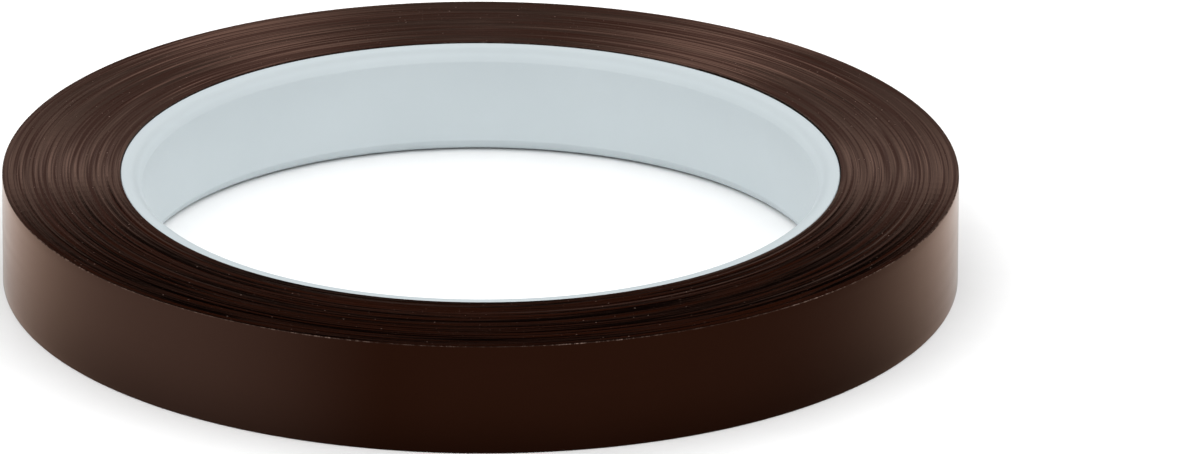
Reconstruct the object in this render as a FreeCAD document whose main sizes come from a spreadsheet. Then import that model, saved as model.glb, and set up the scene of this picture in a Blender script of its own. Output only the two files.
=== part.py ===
# Roll of dark film tape wound on a plastic core, lying flat on one side.
#
# Frame: the roll's axis is +Z, the origin is on that axis in the plane of the
# wound tape's lower side, +X passes to the right of the roll.
#
# The tape is one strip 33 m long and 0.12 mm thick. Its wound length is one
# ring (wound_tape), its last lap is a ring of one tape thickness (outer_lap)
# and its free end is a chain of short lengths (tape_tail_1 to tape_tail_8)
# that peel off the roll one after another. The lengths hinge on each other
# along the tape's outer face, so that each joint opens on the adhesive side.
#
# Sizes are millimetres and degrees, and all of them come from the sheet.
import FreeCAD, Part
import math
import os
import Sketcher
from FreeCAD import Placement, Rotation, Vector

DOC = FreeCAD.newDocument("TapeRoll")

# ---------------------------------------------------------------- the sheet
SIZES = [
    # alias, value, what it is
    ("bore_r", 38.1, "radius of the core's bore, for a 3 inch mandrel"),
    ("core_outer_r", 40.58, "radius of the core's outside, where the tape starts"),
    ("core_width", 12.5, "width of the core, a little under the tape's"),
    ("rim_round", 2.05, "rounding between the bore and each rim"),
    ("core_edge", 0.22, "rounding of the core's outer edges"),
    ("tape_width", 12.7, "width of the tape, half an inch"),
    ("tape_thick", 0.12, "thickness of the tape, film and adhesive"),
    ("roll_r", 54.0, "radius of the roll over its last lap"),
    ("lap_inset", 0.05, "how far each side of the last lap lies inside the roll's"),
    ("tail_from", 12.0, "where the free end leaves the roll, from +X"),
    ("tail_step", 5.0, "arc of each length of the free end"),
    ("tail_count", 8, "how many lengths the free end has"),
    ("tail_lift", 0.02, "gap between the free end and the lap under it"),
    ("tail_joint", 0.02, "gap between two lengths of the free end"),
    ("tip_gap", 0.1, "gap between the tip and the start of the last lap"),
]
sheet = DOC.addObject("Spreadsheet::Sheet", "Sizes")
for i, (alias, value, words) in enumerate(SIZES, start=1):
    sheet.set("A%d" % i, words)
    sheet.set("B%d" % i, str(value))
    sheet.setAlias("B%d" % i, alias)
DOC.recompute()


def size(alias):
    return float(getattr(sheet, alias))


# ------------------------------------------------------------- the builders
def plane(body, role):
    return next(f for f in body.Origin.OriginFeatures if f.Role == role)


def profile(body, name, inner, outer, low, high):
    """A rectangle in the body's XZ plane. Its sides are bound to expressions:
    inner and outer are radii from the axis, low and high are heights."""
    sketch = body.newObject("Sketcher::SketchObject", name)
    sketch.AttachmentSupport = [(plane(body, "XZ_Plane"), "")]
    sketch.MapMode = "FlatFace"
    r0, r1, z0, z1 = 40.0, 50.0, 1.0, 11.0
    corners = [Vector(r0, z0, 0), Vector(r1, z0, 0), Vector(r1, z1, 0), Vector(r0, z1, 0)]
    for k in range(4):
        sketch.addGeometry(Part.LineSegment(corners[k], corners[(k + 1) % 4]), False)
    for k in range(4):
        sketch.addConstraint(Sketcher.Constraint("Coincident", k, 2, (k + 1) % 4, 1))
    sketch.addConstraint(Sketcher.Constraint("Horizontal", 0))
    sketch.addConstraint(Sketcher.Constraint("Horizontal", 2))
    sketch.addConstraint(Sketcher.Constraint("Vertical", 1))
    sketch.addConstraint(Sketcher.Constraint("Vertical", 3))
    for constraint, expression in (
        (Sketcher.Constraint("DistanceX", -1, 1, 0, 1, r0), inner),
        (Sketcher.Constraint("DistanceX", -1, 1, 0, 2, r1), outer),
        (Sketcher.Constraint("DistanceY", -1, 1, 2, 1, z1), high),
    ):
        number = sketch.addConstraint(constraint)
        sketch.setExpression("Constraints[%d]" % number, expression)
    if low is None:
        sketch.addConstraint(Sketcher.Constraint("PointOnObject", 0, 1, -1))
    else:
        number = sketch.addConstraint(Sketcher.Constraint("DistanceY", -1, 1, 0, 1, z0))
        sketch.setExpression("Constraints[%d]" % number, low)
    return sketch


def turned(body, name, sketch, angle):
    """The profile turned about the roll's axis, through an angle or all round."""
    turn = body.newObject("PartDesign::Revolution", name)
    turn.Profile = sketch
    turn.ReferenceAxis = (sketch, ["V_Axis"])
    if angle is None:
        turn.Angle = 360.0
    else:
        turn.setExpression("Angle", angle)
    sketch.Visibility = False
    body.Tip = turn
    return turn


def edges_at(shape, radius, heights):
    """Names of the full circles of one radius about the axis, at these heights."""
    found = []
    for k, edge in enumerate(shape.Edges, start=1):
        curve = edge.Curve
        if (
            isinstance(curve, Part.Circle)
            and abs(curve.Radius - radius) < 1e-4
            and any(abs(curve.Center.z - z) < 1e-4 for z in heights)
        ):
            found.append("Edge%d" % k)
    return found


def rounded(body, name, base, radius, heights, alias):
    fillet = body.newObject("PartDesign::Fillet", name)
    fillet.Base = (base, edges_at(base.Shape, radius, heights))
    fillet.Radius = size(alias)
    fillet.setExpression("Radius", "Sizes." + alias)
    body.Tip = fillet
    DOC.recompute()
    return fillet


PARTS = []


def part(label):
    body = DOC.addObject("PartDesign::Body", label)
    body.Label = label
    PARTS.append(body)
    return body


# -------------------------------------------------------------------- core
# A moulded ring: plain bore, flat rims, a full rounding from each rim into
# the bore so that it slips over a mandrel, and a small one outside.
core = part("core")
core_low = "(Sizes.tape_width - Sizes.core_width) / 2"
core_high = "(Sizes.tape_width + Sizes.core_width) / 2"
ring = turned(
    core,
    "core_ring",
    profile(core, "core_profile", "Sizes.bore_r", "Sizes.core_outer_r", core_low, core_high),
    None,
)
DOC.recompute()
rims = [
    (size("tape_width") - size("core_width")) / 2,
    (size("tape_width") + size("core_width")) / 2,
]
plain = ring.Shape.Volume
inside = rounded(core, "core_rim_round", ring, size("bore_r"), rims, "rim_round")
outside = rounded(core, "core_edge_round", inside, size("core_outer_r"), rims, "core_edge")
if not outside.Shape.Volume < inside.Shape.Volume < plain:
    raise RuntimeError("the core's roundings removed nothing")

# -------------------------------------------------------------- wound tape
# Every lap but the last, from the core outwards: about 111 of them.
wound = part("wound_tape")
turned(
    wound,
    "wound_ring",
    profile(
        wound,
        "wound_profile",
        "Sizes.core_outer_r",
        "Sizes.roll_r - Sizes.tape_thick",
        None,
        "Sizes.tape_width",
    ),
    None,
)

# --------------------------------------------------------------- last lap
# It runs from the tip of the free end round to where the free end leaves.
lap = part("outer_lap")
turned(
    lap,
    "lap_ring",
    profile(
        lap,
        "lap_profile",
        "Sizes.roll_r - Sizes.tape_thick",
        "Sizes.roll_r",
        "Sizes.lap_inset",
        "Sizes.tape_width - Sizes.lap_inset",
    ),
    "360 - Sizes.tail_step * Sizes.tail_count"
    " - (Sizes.tip_gap + Sizes.tail_joint / 2) / Sizes.roll_r * 180 / pi",
)
lap.Placement = Placement(Vector(0, 0, 0), Rotation(Vector(0, 0, 1), 1.0))
lap.setExpression(
    "Placement.Rotation.Angle",
    "Sizes.tail_from + Sizes.tail_step * Sizes.tail_count"
    " + Sizes.tip_gap / Sizes.roll_r * 180 / pi",
)

# --------------------------------------------------------------- free end
# Equal lengths in line, each from one hinge line to the next.
for n in range(int(size("tail_count"))):
    tail = part("tape_tail_%d" % (n + 1))
    turned(
        tail,
        "tail_ring_%d" % (n + 1),
        profile(
            tail,
            "tail_profile_%d" % (n + 1),
            "Sizes.roll_r - Sizes.tape_thick + Sizes.tail_lift",
            "Sizes.roll_r + Sizes.tail_lift",
            "Sizes.lap_inset",
            "Sizes.tape_width - Sizes.lap_inset",
        ),
        "Sizes.tail_step - Sizes.tail_joint / Sizes.roll_r * 180 / pi",
    )
    tail.Placement = Placement(Vector(0, 0, 0), Rotation(Vector(0, 0, 1), 1.0))
    tail.setExpression(
        "Placement.Rotation.Angle",
        "Sizes.tail_from + Sizes.tail_step * %d + Sizes.tail_joint / 2 / Sizes.roll_r * 180 / pi" % n,
    )

DOC.recompute()

# ------------------------------------------------------------------ checks
for thing in DOC.Objects:
    if "Invalid" in thing.State or "Error" in thing.State:
        raise RuntimeError("%s did not recompute: %s" % (thing.Label, thing.State))
for body in PARTS:
    shape = body.Shape
    if shape.isNull() or not shape.isValid() or len(shape.Solids) != 1:
        raise RuntimeError("%s is not one valid solid" % body.Label)


def ring_volume(inner, outer, width, degrees=360.0):
    return math.pi * (outer**2 - inner**2) * width * degrees / 360.0


thick, lift, radius = size("tape_thick"), size("tail_lift"), size("roll_r")
joint = math.degrees(size("tail_joint") / radius)
lap_width = size("tape_width") - 2 * size("lap_inset")
span = size("tail_step") * size("tail_count")
expected = {
    "wound_tape": ring_volume(size("core_outer_r"), radius - thick, size("tape_width")),
    "outer_lap": ring_volume(
        radius - thick,
        radius,
        lap_width,
        360.0 - span - math.degrees((size("tip_gap") + size("tail_joint") / 2) / radius),
    ),
    "tape_tail_1": ring_volume(
        radius - thick + lift, radius + lift, lap_width, size("tail_step") - joint
    ),
}
for body in PARTS:
    box = body.Shape.BoundBox
    print(
        "%-12s %9.2f mm3  x %.2f..%.2f  y %.2f..%.2f  z %.2f..%.2f"
        % (body.Label, body.Shape.Volume, box.XMin, box.XMax, box.YMin, box.YMax, box.ZMin, box.ZMax)
    )
    if body.Label in expected and abs(body.Shape.Volume / expected[body.Label] - 1) > 1e-4:
        raise RuntimeError("%s has the wrong volume" % body.Label)

wound_area = math.pi * (radius**2 - size("core_outer_r") ** 2)
print("tape wound on the core: %.1f m in %.0f laps" % (
    wound_area / thick / 1000, (radius - size("core_outer_r")) / thick))
for n in range(int(size("tail_count"))):
    a = math.radians(size("tail_from") + n * size("tail_step"))
    print("hinge %d at %.4f, %.4f, %.4f" % (
        n + 1, (radius + lift) * math.cos(a), (radius + lift) * math.sin(a), size("tape_width") / 2))

# ------------------------------------------------------------------ export
os.makedirs("parts", exist_ok=True)
for body in PARTS:
    body.Shape.exportStep("parts/%s.step" % body.Label)
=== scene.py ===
"""A roll of dark brown film tape on a pale plastic core, lying flat.

Every length is in metres, in the part's own frame: the roll's axis is +Z and it
stands on z = 0. The tape is built as the one strip that it is, a spiral from
the core to its free end, and cut into the winding, the last lap and the free
end, which is cut into nine short strips; only the last of them is attached to a body, free_end_8.
"""
import math

import bpy
import numpy as np
from mathutils import Matrix, Vector


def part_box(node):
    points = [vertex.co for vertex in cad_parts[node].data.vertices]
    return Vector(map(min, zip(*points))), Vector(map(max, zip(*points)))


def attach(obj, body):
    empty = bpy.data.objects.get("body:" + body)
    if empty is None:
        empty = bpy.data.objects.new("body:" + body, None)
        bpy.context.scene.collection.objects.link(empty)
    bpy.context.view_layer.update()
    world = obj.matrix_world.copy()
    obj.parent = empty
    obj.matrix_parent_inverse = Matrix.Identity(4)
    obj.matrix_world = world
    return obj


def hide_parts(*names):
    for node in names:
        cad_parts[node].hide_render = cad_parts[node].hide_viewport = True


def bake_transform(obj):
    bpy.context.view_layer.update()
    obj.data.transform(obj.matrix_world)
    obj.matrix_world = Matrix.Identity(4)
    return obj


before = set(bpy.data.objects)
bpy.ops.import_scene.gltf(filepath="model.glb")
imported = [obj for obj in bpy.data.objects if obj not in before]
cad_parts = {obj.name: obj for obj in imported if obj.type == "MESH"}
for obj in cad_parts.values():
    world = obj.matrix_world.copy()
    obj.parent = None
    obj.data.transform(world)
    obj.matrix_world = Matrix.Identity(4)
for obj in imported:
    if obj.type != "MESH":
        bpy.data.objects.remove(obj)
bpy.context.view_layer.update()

MM = 0.001
TAU = 2 * math.pi

# ------------------------------------------------------------------ lengths
CORE_LO, CORE_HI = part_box("core")
WIND_LO, WIND_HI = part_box("wound_tape")
CORE_R = CORE_HI.x                     # outside of the core
WIDTH = WIND_HI.z                      # the tape's width
ROLL_R = 54.0 * MM
BORE_R = 38.1 * MM
LAPS = 112
PITCH = (ROLL_R - CORE_R) / LAPS       # one tape thickness
TAIL_FROM, TAIL_STEP, TAILS = 12.0, 5.0, 8
TIP = TAIL_FROM + TAIL_STEP * TAILS    # where the strip starts and ends, degrees
STEPS = 192                            # round one lap
WRAPS = LAPS - 2                       # full laps below the last one


# ------------------------------------------------------------ mesh building
def mesh_object(name, verts, quads, materials, smooth=True, index=None):
    """quads is an (n, 4) array, and a row whose last two entries are the same is a triangle."""
    verts = np.asarray(verts, np.float64)
    quads = np.asarray(quads, np.int64)
    faces = [tuple(q) if q[2] != q[3] else tuple(q[:3]) for q in quads.tolist()]
    me = bpy.data.meshes.new(name)
    me.from_pydata(verts.tolist(), [], faces)
    me.validate(verbose=False)
    me.update()
    for m in materials:
        me.materials.append(m)
    me.polygons.foreach_set("use_smooth", np.full(len(me.polygons), bool(smooth)))
    if index is not None:
        me.polygons.foreach_set("material_index", np.asarray(index, np.int32))
    o = bpy.data.objects.new(name, me)
    bpy.context.scene.collection.objects.link(o)
    return o


def waves(seed, count, turns, lengths):
    """A smooth random field of (r, theta): waves with whole numbers of periods round a lap and
    radial lengths in metres between two limits. Its spread is about 1."""
    rng = np.random.default_rng(seed)
    m = rng.integers(turns[0], turns[1] + 1, count) * rng.choice([-1, 1], count)
    lam = np.exp(rng.uniform(math.log(lengths[0]), math.log(lengths[1]), count))
    ph = rng.uniform(0, TAU, count)

    def field(r, theta):
        out = np.zeros(np.broadcast(r, theta).shape)
        for a, b, c in zip(m, lam, ph):
            out += np.cos(a * theta + TAU * r / b + c)
        return out * math.sqrt(2 / count)

    return field


def wander(seed, count, per_lap):
    """A smooth random function of the distance along the strip, in laps."""
    rng = np.random.default_rng(seed)
    f = rng.uniform(per_lap[0], per_lap[1], count)
    ph = rng.uniform(0, TAU, count)

    def painted_edge_glint(s):
        out = np.zeros(np.shape(s))
        for a, c in zip(f, ph):
            out += np.cos(TAU * a * s + c)
        return out * math.sqrt(2 / count)

    return painted_edge_glint


# ---------------------------------------------------------------- materials
class Nodes:
    """A short hand for building a material's nodes."""

    def __init__(self, name):
        self.mat = bpy.data.materials.new(name)
        self.mat.use_nodes = True
        self.tree = self.mat.node_tree
        self.tree.nodes.clear()
        self.out = self.add("ShaderNodeOutputMaterial")
        self.bsdf = self.add("ShaderNodeBsdfPrincipled")
        self.link(self.bsdf.outputs[0], self.out.inputs["Surface"])

    def add(self, kind, **values):
        n = self.tree.nodes.new(kind)
        for k, v in values.items():
            if hasattr(n, k):
                setattr(n, k, v)
            else:
                n.inputs[k].default_value = v
        return n

    def link(self, a, b):
        self.tree.links.new(a, b)

    def math(self, op, a, b=None, clamp=False):
        n = self.add("ShaderNodeMath", operation=op, use_clamp=clamp)
        for i, v in enumerate((a, b)):
            if v is None:
                continue
            if isinstance(v, (int, float)):
                n.inputs[i].default_value = v
            else:
                self.link(v, n.inputs[i])
        return n.outputs[0]

    def noise(self, vector, scale, detail=2.0, rough=0.5, kind="3D"):
        n = self.add("ShaderNodeTexNoise", noise_dimensions=kind)
        n.inputs["Scale"].default_value = scale
        n.inputs["Detail"].default_value = detail
        n.inputs["Roughness"].default_value = rough
        self.link(vector, n.inputs["Vector"])
        return n.outputs["Fac"]

    def remap(self, value, a, b, c, d, smooth=False):
        n = self.add("ShaderNodeMapRange", interpolation_type="SMOOTHSTEP" if smooth else "LINEAR")
        self.link(value, n.inputs["Value"])
        for k, v in zip(("From Min", "From Max", "To Min", "To Max"), (a, b, c, d)):
            n.inputs[k].default_value = v
        return n.outputs["Result"]

    def mix(self, factor, a, b, blend="MIX"):
        n = self.add("ShaderNodeMix", data_type="RGBA", blend_type=blend)
        for sock, v in ((n.inputs[0], factor), (n.inputs[6], a), (n.inputs[7], b)):
            if isinstance(v, (int, float)):
                sock.default_value = v
            elif isinstance(v, (tuple, list)):
                sock.default_value = (*v, 1.0)
            else:
                self.link(v, sock)
        return n.outputs[2]

    def place(self):
        """The point in the part's frame: where the piece was made, whatever its pose."""
        return self.add("ShaderNodeTexCoord").outputs["Object"]

    def ring_space(self, metres_r, metres_t, metres_z=1.0):
        """A vector (r, cos, sin) whose features are metres_r long outwards, metres_t round the roll
        and metres_z up it."""
        co = self.place()
        sep = self.add("ShaderNodeSeparateXYZ")
        self.link(co, sep.inputs[0])
        x, y, z = sep.outputs
        r = self.math("SQRT", self.math("ADD", self.math("MULTIPLY", x, x), self.math("MULTIPLY", y, y)))
        k = 0.047 / metres_t
        cx = self.math("MULTIPLY", self.math("DIVIDE", x, r), k)
        cy = self.math("MULTIPLY", self.math("DIVIDE", y, r), k)
        rr = self.math("ADD", self.math("MULTIPLY", r, 1 / metres_r), self.math("MULTIPLY", z, 1 / metres_z))
        comb = self.add("ShaderNodeCombineXYZ")
        for s, v in zip(comb.inputs, (rr, cx, cy)):
            self.link(v, s)
        return comb.outputs[0], r, z

    def bump(self, height, distance, strength=1.0, normal=None):
        n = self.add("ShaderNodeBump")
        n.inputs["Strength"].default_value = strength
        n.inputs["Distance"].default_value = distance
        self.link(height, n.inputs["Height"])
        if normal is not None:
            self.link(normal, n.inputs["Normal"])
        return n.outputs[0]


def film_material():
    """The film's outer face: dark brown, smooth, calendered along its length, with a painted highlight
    as a broad lighter stretch on its front left flank, and a thin painted highlight line, broken into
    dots, along its top slit edge."""
    n = Nodes("dark_film")
    b = n.bsdf
    co = n.place()
    big = n.noise(co, 45.0, 2.0, 0.5)
    ring, r, z = n.ring_space(0.004, 0.020, 0.0011)
    lines = n.noise(ring, 1.0, 3.0, 0.55)
    fine = n.noise(co, 5200.0, 2.0, 0.6)
    a = n.mix(n.remap(big, 0.35, 0.65, 0, 1), FILM_A, FILM_B)
    a = n.mix(n.remap(lines, 0.35, 0.7, 0, 0.5), a, FILM_C)
    # Painted highlight: the film's colour is made lighter over a broad stretch of its front left flank, about 212
    # degrees round the roll, standing in for light from that side.
    sep = n.add("ShaderNodeSeparateXYZ")
    n.link(co, sep.inputs[0])
    hx = n.math("MULTIPLY", n.math("DIVIDE", sep.outputs[0], r), math.cos(math.radians(LIT_FLANK_AT)))
    hy = n.math("MULTIPLY", n.math("DIVIDE", sep.outputs[1], r), math.sin(math.radians(LIT_FLANK_AT)))
    near = n.math("ADD", hx, hy)
    painted_flank_light = n.remap(near, math.cos(math.radians(LIT_FLANK_WIDE)), math.cos(math.radians(LIT_FLANK_CORE)), 0, 1, smooth=True)
    a = n.mix(painted_flank_light, a, LIT_FLANK_PAINT)
    # Painted highlight: a thin lighter line along the film's top slit edge, broken into dots and patches, stands in
    # for light caught by the rounded edge; the same line is also made rougher.
    glint_dots = n.noise(n.ring_space(0.0004, 0.00045, 0.0004)[0], 1.0, 2.0, 0.65)
    glint_patches = n.noise(n.ring_space(0.004, 0.012, 0.004)[0], 1.0, 1.0, 0.5)
    glint_breakup = n.math("MULTIPLY", n.remap(glint_dots, 0.46, 0.66, 0.06, 1.0), n.remap(glint_patches, 0.40, 0.60, 0.25, 1.0))
    painted_edge_glint = n.math("MULTIPLY", n.remap(z, WIDTH - 0.00011, WIDTH - 0.00006, 0, 1), glint_breakup)
    a = n.mix(painted_edge_glint, a, EDGE_GLINT_PAINT)
    n.link(a, b.inputs["Base Color"])
    rough = n.math("ADD", n.remap(lines, 0.3, 0.7, -0.015, 0.02), n.remap(big, 0.3, 0.7, FILM_ROUGH - 0.01, FILM_ROUGH + 0.015))
    rough = n.math("ADD", rough, n.math("MULTIPLY", painted_edge_glint, 0.35))
    n.link(rough, b.inputs["Roughness"])
    b.inputs["Metallic"].default_value = FILM_METAL
    b.inputs["Specular Tint"].default_value = (*FILM_TINT, 1)
    b.inputs["Specular IOR Level"].default_value = 0.5
    h = n.bump(fine, 0.0000016, 0.5)
    h = n.bump(lines, 0.000006, 0.25, h)
    n.link(h, b.inputs["Normal"])
    return n.mat


def edge_material():
    """The sides of the winding: slit edges of the film, streaked lap by lap, with a little dust."""
    n = Nodes("slit_edges")
    b = n.bsdf
    co = n.place()
    broad, r, z = n.ring_space(0.0018, 0.034)
    wide, _, _ = n.ring_space(0.00046, 0.026)
    thin, _, _ = n.ring_space(0.00023, 0.024)
    hair, _, _ = n.ring_space(0.00007, 0.0035)
    s0 = n.noise(broad, 1.0, 1.0, 0.5)
    s1 = n.noise(wide, 1.0, 1.0, 0.5)
    s2 = n.noise(thin, 1.0, 1.0, 0.5)
    s3 = n.noise(hair, 1.0, 1.0, 0.5)
    tone = n.math("ADD", n.remap(s0, 0.34, 0.66, 0, 0.16), n.remap(s1, 0.34, 0.66, 0, 0.34))
    tone = n.math("ADD", tone, n.remap(s2, 0.34, 0.66, 0, 0.50))
    tone = n.remap(tone, 0.36, 0.64, 0, 1)
    a = n.mix(tone, EDGE_A, EDGE_B)
    cell = n.add("ShaderNodeTexVoronoi", feature="F1")
    cell.inputs["Scale"].default_value = 1400.0
    n.link(co, cell.inputs["Vector"])
    pick = n.add("ShaderNodeSeparateColor")
    n.link(cell.outputs["Color"], pick.inputs[0])
    size = n.remap(pick.outputs[0], 0.35, 1.0, 0.0, 0.125)
    dust = n.math("MULTIPLY", n.math("LESS_THAN", cell.outputs["Distance"], size), n.remap(pick.outputs[1], 0, 1, 0.15, 0.85))
    fine = n.add("ShaderNodeTexVoronoi", feature="F1")
    fine.inputs["Scale"].default_value = 2700.0
    n.link(co, fine.inputs["Vector"])
    pick2 = n.add("ShaderNodeSeparateColor")
    n.link(fine.outputs["Color"], pick2.inputs[0])
    size2 = n.remap(pick2.outputs[0], 0.40, 1.0, 0.0, 0.20)
    dust2 = n.math("MULTIPLY", n.math("LESS_THAN", fine.outputs["Distance"], size2), n.remap(pick2.outputs[1], 0, 1, 0.05, 0.34))
    dust = n.math("MAXIMUM", dust, dust2)
    a = n.mix(dust, a, DUST)
    n.link(a, b.inputs["Base Color"])
    rough = n.math("ADD", n.remap(tone, 0, 1, *EDGE_ROUGH), n.remap(s3, 0.3, 0.7, -0.015, 0.015))
    n.link(n.math("ADD", rough, n.math("MULTIPLY", dust, 0.4)), b.inputs["Roughness"])
    clean = n.math("SUBTRACT", 1.0, n.math("MULTIPLY", dust, 0.9))
    n.link(n.math("MULTIPLY", n.remap(tone, 0, 1, *EDGE_METAL), clean), b.inputs["Metallic"])
    b.inputs["Specular Tint"].default_value = (*EDGE_TINT, 1)
    b.inputs["Specular IOR Level"].default_value = 0.02
    h = n.bump(s3, 0.000008, 0.4)
    n.link(h, b.inputs["Normal"])
    return n.mat


def adhesive_material():
    n = Nodes("adhesive")
    b = n.bsdf
    co = n.place()
    s1 = n.noise(co, 380.0, 4.0, 0.6)
    n.link(n.mix(n.remap(s1, 0.3, 0.7, 0, 1), (0.030, 0.014, 0.009), (0.045, 0.022, 0.013)), b.inputs["Base Color"])
    n.link(n.remap(s1, 0.3, 0.7, 0.22, 0.34), b.inputs["Roughness"])
    n.link(n.bump(s1, 0.00001, 0.5), b.inputs["Normal"])
    return n.mat


def core_material():
    """Pale bluish white moulded plastic, with painted shade darkening its top rim."""
    n = Nodes("core_plastic")
    b = n.bsdf
    co = n.place()
    s1 = n.noise(co, 60.0, 3.0, 0.5)
    s2 = n.noise(co, 2400.0, 3.0, 0.6)
    sep = n.add("ShaderNodeSeparateXYZ")
    n.link(co, sep.inputs[0])
    # Painted shade: the colour grows darker over the top 0.8 mm of the core, its top rim only.
    up = n.remap(sep.outputs[2], CORE_HI.z - 0.00080, CORE_HI.z, 0, 1, smooth=True)
    tone = n.mix(n.remap(s1, 0.35, 0.65, 0, 1), CORE_A, CORE_B)
    n.link(n.mix(up, tone, CORE_TOP_SHADE), b.inputs["Base Color"])
    n.link(n.remap(s2, 0.3, 0.7, 0.42, 0.52), b.inputs["Roughness"])
    b.inputs["Specular IOR Level"].default_value = 0.12
    n.link(n.bump(s2, 0.000004, 0.5), b.inputs["Normal"])
    return n.mat


FILM_A, FILM_B, FILM_C = (0.0140, 0.0046, 0.0024), (0.0156, 0.0052, 0.0028), (0.0148, 0.0049, 0.0026)
FILM_ROUGH, FILM_METAL, FILM_TINT = 0.19, 1.0, (1.0, 0.84, 0.76)
# colour, place and widths of the painted highlight on the film's front left flank
LIT_FLANK_PAINT, LIT_FLANK_AT, LIT_FLANK_CORE, LIT_FLANK_WIDE = (0.036, 0.0185, 0.0135), 212.0, 12.0, 48.0
# the first colour is the painted highlight line along the film's top slit edge; the second is dust on the winding's
# sides
EDGE_GLINT_PAINT, DUST = (0.20, 0.14, 0.115), (0.17, 0.12, 0.10)
EDGE_A, EDGE_B = (0.0210, 0.0050, 0.0020), (0.0410, 0.0220, 0.0165)
EDGE_ROUGH, EDGE_METAL, EDGE_TINT = (0.14, 0.08), (0.28, 1.0), (1.0, 0.812, 0.742)
CORE_A, CORE_B = (0.526, 0.581, 0.603), (0.545, 0.600, 0.622)
# the darker colour of the painted shade on the core's top rim
CORE_TOP_SHADE = (0.440, 0.488, 0.507)

FILM, EDGES, ADHESIVE, PLASTIC = film_material(), edge_material(), adhesive_material(), core_material()

# ---------------------------------------------------------------------- core
def arc(cx, cz, radius, a0, a1, count):
    t = np.radians(np.linspace(a0, a1, count))
    return [(cx + radius * math.cos(x), cz + radius * math.sin(x)) for x in t]


def lathe(name, profile, steps, materials, ripple=None):
    """A closed ring: the profile, in (r, z), turned about Z."""
    p = np.array(profile)
    th = np.linspace(0, TAU, steps, endpoint=False)
    r = p[:, 0][None, :] + (ripple(th) if ripple is not None else 0)
    x, y = r * np.cos(th)[:, None], r * np.sin(th)[:, None]
    z = np.broadcast_to(p[:, 1][None, :], x.shape)
    verts = np.stack([x, y, z], -1).reshape(-1, 3)
    k = len(p)
    i = np.arange(steps)[:, None]
    j = np.arange(k)[None, :]
    i2, j2 = (i + 1) % steps, (j + 1) % k
    quads = np.stack([i * k + j, i2 * k + j, i2 * k + j2, i * k + j2], -1).reshape(-1, 4)
    return mesh_object(name, verts, quads, materials)


z0, z1 = CORE_LO.z, CORE_HI.z
rim, edge = 2.05 * MM, 0.22 * MM
prof = []
prof += arc(CORE_R - edge, z0 + edge, edge, -90, 0, 7)          # outer edge, low
prof += [(CORE_R, z) for z in np.linspace(z0 + edge, z1 - edge, 8)[1:-1]]
prof += arc(CORE_R - edge, z1 - edge, edge, 0, 90, 7)           # outer edge, high
drop_z, power = 1.44 * MM, 3.0          # the rounding steepens towards the bore and meets its wall in a soft corner
small_r = 0.45 * MM
cut = math.pi / 2 - math.atan(drop_z * power / rim)
back = small_r * math.tan(cut / 2)
upper = [(BORE_R + rim - x, z1 - drop_z * (x / rim) ** power) for x in np.linspace(0, rim - back * math.sin(cut), 30)]
corner_z = z1 - drop_z
soft = arc(BORE_R + small_r, corner_z - back, small_r, 180 - math.degrees(cut), 180, 7)
rounding = upper + soft[1:]
prof += rounding                                                # rim, high
prof += [(BORE_R, z) for z in np.linspace(corner_z - back, z0 + z1 - corner_z + back, 14)[1:-1]]
prof += [(r_, z0 + z1 - z_) for r_, z_ in rounding[::-1]]       # rim, low
core = lathe("core_ring", prof, 288, [PLASTIC])
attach(core, "roll")
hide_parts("core")


# ------------------------------------------------------------------- winding
def spiral(n):
    """(s, theta) at step n of the strip."""
    s = n / STEPS
    return s, math.radians(TIP) + TAU * s


LEAN = [(54.0, 17.0, 0.075), (124.0, 18.0, 0.080), (90.0, 11.0, -0.030), (26.0, 13.0, -0.020), (156.0, 13.0, -0.018)]
tilt_wide = waves(11, 26, (0, 3), (0.0007, 0.0040))
tilt_mid = waves(12, 40, (0, 6), (0.00030, 0.0010))
tilt_lap = wander(13, 24, (0.4, 3.6))
rise_wide = waves(14, 24, (0, 3), (0.0012, 0.0080))
rise_lap = wander(15, 24, (0.3, 2.4))


def lean(th, r):
    """How far the slit edges slant inwards, round the roll."""
    d = np.degrees(th) % 360.0
    out = np.full(np.shape(d), 0.085)
    for at_deg, wide, amount in LEAN:
        x = (d - at_deg + 180.0) % 360.0 - 180.0
        out = out + amount * np.exp(-(x / wide) ** 2)
    x = (d - 90.0) % 360.0 - 180.0
    out = out + np.exp(-(x / 62.0) ** 2) * (-0.026 + 0.064 * (r - CORE_R) / (ROLL_R - CORE_R))
    return out


def side(seed_shift):
    """Heights of both edges of the strip along it, measured down from the roll's side."""
    n = np.arange(WRAPS * STEPS + 1)
    s, th = spiral(n)
    r = CORE_R + PITCH * s
    s = s + seed_shift * 1000.37
    rr = r + seed_shift * 0.5
    d = np.degrees(th) % 360.0
    uneven = 1.0 + 1.6 * np.exp(-(((d - 29.0 + 180.0) % 360.0 - 180.0) / 16.0) ** 2) + 1.6 * np.exp(-((d - 151.0) / 16.0) ** 2)
    slope = lean(th, r) + uneven * (0.012 * tilt_wide(rr, th) + 0.017 * tilt_mid(rr, th) + 0.014 * tilt_lap(s))
    drop = 0.018 * MM + 0.005 * MM * rise_wide(rr, th) + 0.0028 * MM * rise_lap(s)
    drop = np.maximum(drop, 0.002 * MM + np.abs(slope) * PITCH / 2)
    a = drop + slope * PITCH / 2        # inner edge lies lower
    b = drop - slope * PITCH / 2
    return a, b


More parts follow.
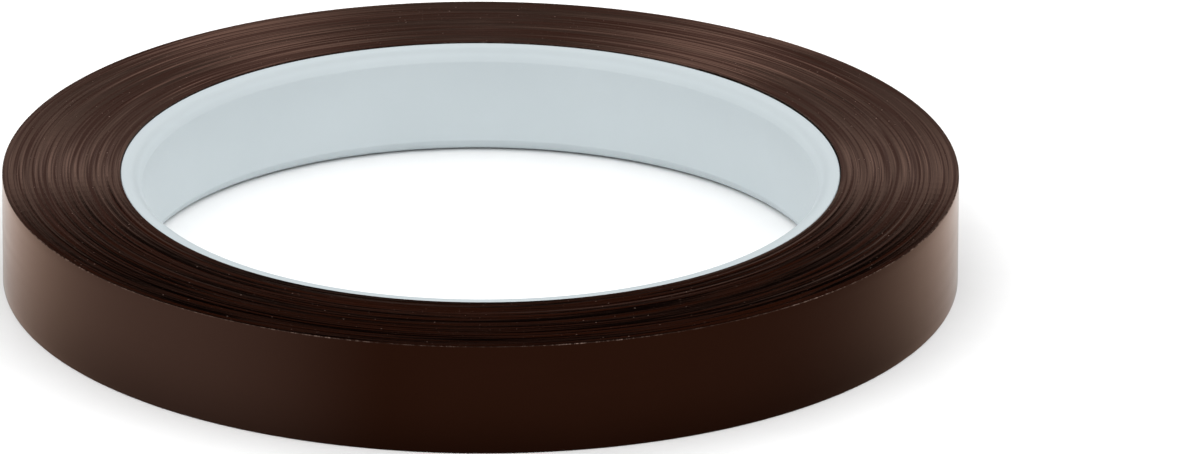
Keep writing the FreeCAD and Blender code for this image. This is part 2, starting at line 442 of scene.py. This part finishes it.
def winding():
    n = np.arange(WRAPS * STEPS + 1)
    s, th = spiral(n)
    gap = 0.0006 * MM
    ra = CORE_R + PITCH * s + gap * 0.5
    rb = CORE_R + PITCH * (s + 1) - gap * 0.5
    c, si = np.cos(th), np.sin(th)
    count = len(n)
    verts, quads, index = [], [], []
    for k in (0, 1):
        a, b = side(k)
        za = WIDTH - a if k == 0 else a
        zb = WIDTH - b if k == 0 else b
        verts.append(np.stack([ra * c, ra * si, za], -1))
        verts.append(np.stack([rb * c, rb * si, zb], -1))
        base = 2 * k * count
        A, B = base + n, base + count + n
        q1 = np.stack([A[:-1], B[:-1], B[1:], A[1:]], -1)
        m = np.arange(count - 1 - STEPS)
        q2 = np.stack([B[m], A[m + STEPS], A[m + 1 + STEPS], B[m + 1]], -1)
        q = np.concatenate([q1, q2])
        if k == 1:
            q = q[:, ::-1]
        quads.append(q)
        index.append(np.zeros(len(q), int))
    up = {"A": n, "B": count + n}
    dn = {"A": 2 * count + n, "B": 3 * count + n}

    def walls(keys, flip, mat):
        loop_u = np.array([up[k][i] for k, i in keys])
        loop_d = np.array([dn[k][i] for k, i in keys])
        u2, d2 = np.roll(loop_u, -1), np.roll(loop_d, -1)
        q = np.stack([loop_u, loop_d, d2, u2], -1)
        if flip:
            q = q[:, ::-1]
        quads.append(q)
        index.append(np.full(len(q), mat))

    last = (WRAPS - 1) * STEPS
    end = WRAPS * STEPS
    outer = [("B", i) for i in range(last, end + 1)] + [("A", end)]
    inner = [("A", i) for i in range(0, STEPS + 1)] + [("B", 0)]
    walls(outer, False, 1)
    walls(inner, True, 1)
    o = mesh_object("tape_winding", np.concatenate(verts), np.concatenate(quads), [EDGES, FILM],
                    smooth=False, index=np.concatenate(index))
    return o


wind = winding()
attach(wind, "roll")
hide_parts("wound_tape")

# --------------------------------------------------- last lap and free end
film_wave = waves(31, 14, (1, 9), (0.006, 0.030))


def strip(name, a0, a1, count, lo=0.035 * MM, hi=0.035 * MM):
    """A length of the last lap between two angles: a closed strip with rounded slit edges.
    Its outer face is the film and its inner face the adhesive."""
    th = np.radians(np.linspace(a0, a1, count))
    s = (np.degrees(th) - TIP) % 360.0 / 360.0
    if a1 > TIP and a0 >= TIP:
        s = (np.degrees(th) - TIP) / 360.0
    else:
        s = (np.degrees(th) - TIP + 360.0) / 360.0
    r_in = CORE_R + PITCH * (WRAPS + s) + 0.004 * MM
    thick = PITCH - 0.006 * MM
    e = 0.045 * MM
    zl, zh = lo, WIDTH - hi
    pts = []                            # (fraction of thickness or offset, z, material)
    outer = [(thick, z) for z in np.linspace(zl + e, zh - e, 12)]
    top = [(thick - e + e * math.cos(t), zh - e + e * math.sin(t)) for t in np.radians(np.linspace(0, 90, 6))][1:]
    inner = [(0.0, z) for z in np.linspace(zh - 0.01 * MM, zl + 0.01 * MM, 4)]
    bottom = [(thick - e + e * math.cos(t), zl + e + e * math.sin(t)) for t in np.radians(np.linspace(-90, 0, 6))][:-1]
    pts = outer + top + [(0.012 * MM, zh)] + inner + [(0.012 * MM, zl)] + bottom
    k = len(pts)
    off = np.array([p[0] for p in pts])
    zz = np.array([p[1] for p in pts])
    wave = 0.0022 * MM * film_wave(zz[None, :], th[:, None]) * (off[None, :] > thick * 0.5)
    r = r_in[:, None] + off[None, :] + wave
    verts = np.stack([r * np.cos(th)[:, None], r * np.sin(th)[:, None], np.broadcast_to(zz, r.shape)], -1).reshape(-1, 3)
    i = np.arange(count - 1)[:, None]
    j = np.arange(k)[None, :]
    j2 = (j + 1) % k
    q = np.stack([i * k + j, (i + 1) * k + j, (i + 1) * k + j2, i * k + j2], -1).reshape(-1, 4)
    mat = np.tile((np.arange(k) >= 12 + 5) & (np.arange(k) <= 12 + 5 + 4), count - 1).astype(int)
    faces = q.tolist()
    caps = [list(range(k)), [(count - 1) * k + x for x in range(k - 1, -1, -1)]]
    me = bpy.data.meshes.new(name)
    me.from_pydata(verts.tolist(), [], faces + caps)
    me.validate(verbose=False)
    me.update()
    me.materials.append(FILM)
    me.materials.append(ADHESIVE)
    me.polygons.foreach_set("use_smooth", np.array([True] * len(faces) + [False, False]))
    me.polygons.foreach_set("material_index", np.concatenate([mat, [0, 0]]).astype(np.int32))
    ends = np.empty(len(me.edges) * 2, np.int32)
    me.edges.foreach_get("vertices", ends)
    ends = ends.reshape(-1, 2)
    rim_edge = ((ends < k).all(1)) | ((ends >= (count - 1) * k).all(1))
    sharp = me.attributes.new("sharp_edge", "BOOLEAN", "EDGE")
    sharp.data.foreach_set("value", rim_edge)
    o = bpy.data.objects.new(name, me)
    bpy.context.scene.collection.objects.link(o)
    return o


lap = strip("last_lap", TIP + 0.012, TAIL_FROM + 360.0, 640)
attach(lap, "roll")
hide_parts("outer_lap")


mids = [TAIL_FROM + TAIL_STEP * (i + 0.5) for i in range(TAILS)]
cuts = [TAIL_FROM] + mids + [TIP]
for i in range(TAILS + 1):
    a, b = cuts[i], cuts[i + 1]
    piece = strip("free_end_strip_%d" % (i + 1), a, b, 13)
    if i == 0:
        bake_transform(piece)
    elif i < TAILS:
        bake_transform(piece)
    else:
        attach(piece, "free_end_%d" % TAILS)
    if i < TAILS:
        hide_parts("tape_tail_%d" % (i + 1))

# -------------------------------------------------------------------- stage
def floor_material():
    n = Nodes("pale_floor")
    co = n.place()
    s = n.noise(co, 90.0, 3.0, 0.6)
    n.link(n.mix(n.remap(s, 0.3, 0.7, 0, 1), (0.93, 0.93, 0.93), (0.95, 0.95, 0.95)), n.bsdf.inputs["Base Color"])
    n.bsdf.inputs["Roughness"].default_value = 0.9
    n.bsdf.inputs["Specular IOR Level"].default_value = 0.1
    return n.mat


F = 60.0
floor = mesh_object("floor", [(-F, -F, -0.00002), (F, -F, -0.00002), (F, F, -0.00002), (-F, F, -0.00002)],
                    [(0, 1, 2, 3)], [floor_material()], smooth=False)

# -------------------------------------------------------------------- light
# A soft dome, dimmer low down and in a narrow gap straight behind.
DOME = [(0.0, 0.01), (0.24, 0.01), (0.285, 0.03), (0.315, 0.25), (0.34, 1.17), (0.363, 1.64), (0.385, 1.27),
        (0.41, 0.86), (0.468, 0.60), (0.51, 0.86), (0.56, 1.62), (0.61, 2.40), (0.79, 2.40), (0.90, 1.00), (1.0, 0.80)]
BELOW = 1.3
GAP, GAP_WIDE = 0.60, 0.085
world = bpy.data.worlds.new("studio")
bpy.context.scene.world = world
world.use_nodes = True
wt = world.node_tree
wt.nodes.clear()


def wnode(kind, *inputs, **attrs):
    nd = wt.nodes.new(kind)
    for k, v in attrs.items():
        setattr(nd, k, v)
    for i, v in enumerate(inputs):
        if isinstance(v, (int, float)):
            nd.inputs[i].default_value = v
        elif v is not None:
            wt.links.new(v, nd.inputs[i])
    return nd.outputs[0]


out = wt.nodes.new("ShaderNodeOutputWorld")
bg = wt.nodes.new("ShaderNodeBackground")
co = wt.nodes.new("ShaderNodeTexCoord")
sep = wt.nodes.new("ShaderNodeSeparateXYZ")
wt.links.new(co.outputs["Generated"], sep.inputs[0])
X, Y, Z = sep.outputs
curve = wt.nodes.new("ShaderNodeFloatCurve")
top_v = 2.5
c = curve.mapping.curves[0]
pts = [(0.0, DOME[0][1] / top_v)] + [(z, v / top_v) for z, v in DOME[1:]]
while len(c.points) < len(pts):
    c.points.new(0.5, 0.5)
for p, (px, py) in zip(c.points, pts):
    p.location = (px, py)
    p.handle_type = "AUTO_CLAMPED"
curve.mapping.update()
wt.links.new(wnode("ShaderNodeMath", Z, 0.0, operation="MAXIMUM"), curve.inputs["Value"])
light = wnode("ShaderNodeMath", curve.outputs[0], top_v, operation="MULTIPLY")
ax = wnode("ShaderNodeMath", wnode("ShaderNodeMath", X, Y, operation="ARCTAN2"), GAP_WIDE, operation="DIVIDE")
dip = wnode("ShaderNodeMath", wnode("ShaderNodeMath", wnode("ShaderNodeMath", ax, ax, operation="MULTIPLY"), -1.0, operation="MULTIPLY"), 0.0, operation="ADD")
dip = wnode("ShaderNodeMath", wnode("ShaderNodeMath", dip, operation="EXPONENT"), -GAP, operation="MULTIPLY")
low = wnode("ShaderNodeMapRange", Z, 0.60, 0.75, 1.0, 0.0)
light = wnode("ShaderNodeMath", light, wnode("ShaderNodeMath", wnode("ShaderNodeMath", dip, low, operation="MULTIPLY"), 1.0, operation="ADD"), operation="MULTIPLY")
under = wnode("ShaderNodeMath", Z, 0.0, operation="LESS_THAN")
light = wnode("ShaderNodeMath", wnode("ShaderNodeMath", light, wnode("ShaderNodeMath", 1.0, under, operation="SUBTRACT"), operation="MULTIPLY"),
              wnode("ShaderNodeMath", under, BELOW, operation="MULTIPLY"), operation="ADD")
comb = wt.nodes.new("ShaderNodeCombineColor")
for i in range(3):
    wt.links.new(light, comb.inputs[i])
wt.links.new(comb.outputs[0], bg.inputs["Color"])
wt.links.new(bg.outputs[0], out.inputs["Surface"])
bg.inputs["Strength"].default_value = 1.0

# ------------------------------------------------------------------- camera
scene = bpy.context.scene
scene.view_settings.view_transform = "Standard"
scene.view_settings.look = "None"
scene.view_settings.exposure = 0.0
scene.view_settings.gamma = 1.0
cam_data = bpy.data.cameras.new("camera")
cam = bpy.data.objects.new("camera", cam_data)
scene.collection.objects.link(cam)
target = Vector((0, 0, 0.2350 * ROLL_R / 2))
tilt = math.radians(21.337)
dist = 37.0 * ROLL_R
cam.location = target + Vector((0, -math.cos(tilt), math.sin(tilt))) * dist
quat = (target - cam.location).to_track_quat("-Z", "Y")
cam.rotation_mode = "QUATERNION"
cam.rotation_quaternion = quat @ Matrix.Rotation(math.radians(0.1366), 3, "Z").to_quaternion()
cam_data.sensor_width = 36.0
cam_data.lens = 17696.43 / 1200.0 * 36.0
cam_data.shift_x = (600.0 - 480.217) / 1200.0
cam_data.shift_y = -(227.0 - 221.910) / 1200.0
cam_data.clip_start, cam_data.clip_end = 0.05, 100.0
scene.camera = cam
